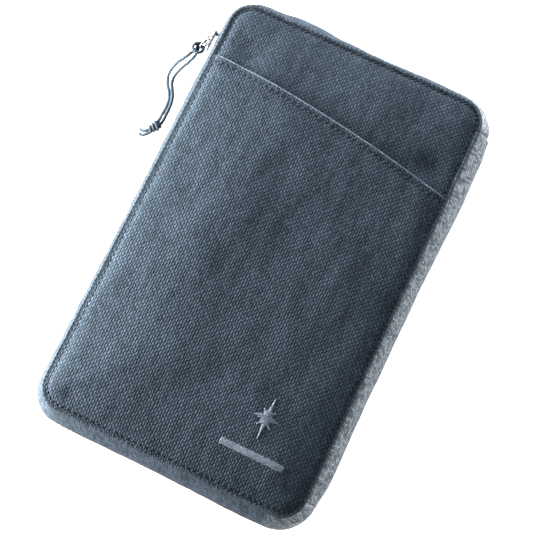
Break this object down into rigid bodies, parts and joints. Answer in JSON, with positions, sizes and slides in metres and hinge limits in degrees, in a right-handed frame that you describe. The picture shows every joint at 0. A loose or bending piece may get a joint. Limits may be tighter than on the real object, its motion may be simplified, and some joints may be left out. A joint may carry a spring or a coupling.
{
  "type": "travel wallet",
  "caption": "Flat zip-round travel wallet that opens like a book, with a slanted front slip pocket, a stiff spine strip and a knotted cord on its zip slider.",
  "frame": {"origin": "middle of the flat underside, which is the outer face of the back panel", "axes": "+X across to the spine, +Y up the wallet's height, +Z out of the front"},
  "size_m": [0.1643, 0.2378, 0.026],
  "materials": {
    "coarse_fabric": "coarse woven fabric, dark slate, staggered floats",
    "fine_fabric": "fine melange weave, matt",
    "piping": "turned fabric edge with a row of stitches",
    "lining": "plain woven lining, slight sheen",
    "board": "closed-cell foam board",
    "zip_tape": "woven zip tape",
    "zip_coil": "moulded nylon coil",
    "slider_metal": "satin nickel plating",
    "cord": "braided cord",
    "thread": "satin-stitched thread with a soft sheen",
    "mesh_fabric": "knitted mesh"
  },
  "bodies": {
    "back": {"back_panel": "coarse_fabric", "back_piping": "piping", "back_stiffener": "board", "back_lining": "lining", "back_gusset": "fine_fabric", "back_zip_tape": "zip_tape", "back_zip_coil": "zip_coil", "document_pocket": "lining", "coin_pocket": "mesh_fabric", "coin_zip_tape_lower": "zip_tape", "coin_zip_tape_upper": "zip_tape", "coin_zip_coil_lower": "zip_coil", "coin_zip_coil_upper": "zip_coil"},
    "spine": {"spine_panel": "fine_fabric", "spine_lining": "lining"},
    "cover": {"front_panel": "coarse_fabric", "slip_pocket": "coarse_fabric", "front_piping": "piping", "front_stiffener": "board", "front_lining": "lining", "front_gusset": "fine_fabric", "front_zip_tape": "zip_tape", "front_zip_coil": "zip_coil", "card_slot_1": "lining", "card_slot_2": "lining", "card_slot_3": "lining", "emblem_star": "thread", "emblem_bar": "thread"},
    "slider": {"slider_body": "slider_metal"},
    "pull": {"pull_ring": "slider_metal", "puller_hitch": "cord", "puller_cord_a": "cord", "puller_cord_b": "cord", "puller_knot": "cord", "puller_tail_a": "cord", "puller_tail_b": "cord"},
    "coin_slider": {"coin_slider_body": "slider_metal"},
    "coin_pull": {"coin_pull_ring": "slider_metal"}
  },
  "joints": [
    {"name": "spine_fold", "type": "hinge", "parent": "back", "child": "spine", "pos_m": [0.071, 0, 0.0015], "axis": [0, 1, 0], "range_deg": [0, 90]},
    {"name": "cover_fold", "type": "hinge", "parent": "spine", "child": "cover", "pos_m": [0.071, 0, 0.0245], "axis": [0, 1, 0], "range_deg": [0, 90]},
    {"name": "slider_travel", "type": "slide", "parent": "back", "child": "slider", "axis": [0, -1, 0], "range_m": [-0.003, 0.185]},
    {"name": "pull_swing", "type": "hinge", "parent": "slider", "child": "pull", "pos_m": [-0.07635, 0.0915, 0.013], "axis": [0, 0, 1], "range_deg": [-105, 5]},
    {"name": "coin_slider_travel", "type": "slide", "parent": "back", "child": "coin_slider", "axis": [1, 0, 0], "range_m": [-0.006, 0.1]},
    {"name": "coin_pull_swing", "type": "hinge", "parent": "coin_slider", "child": "coin_pull", "pos_m": [-0.0491, -0.011, 0.0094], "axis": [0, 1, 0], "range_deg": [0, 170]}
  ]
}
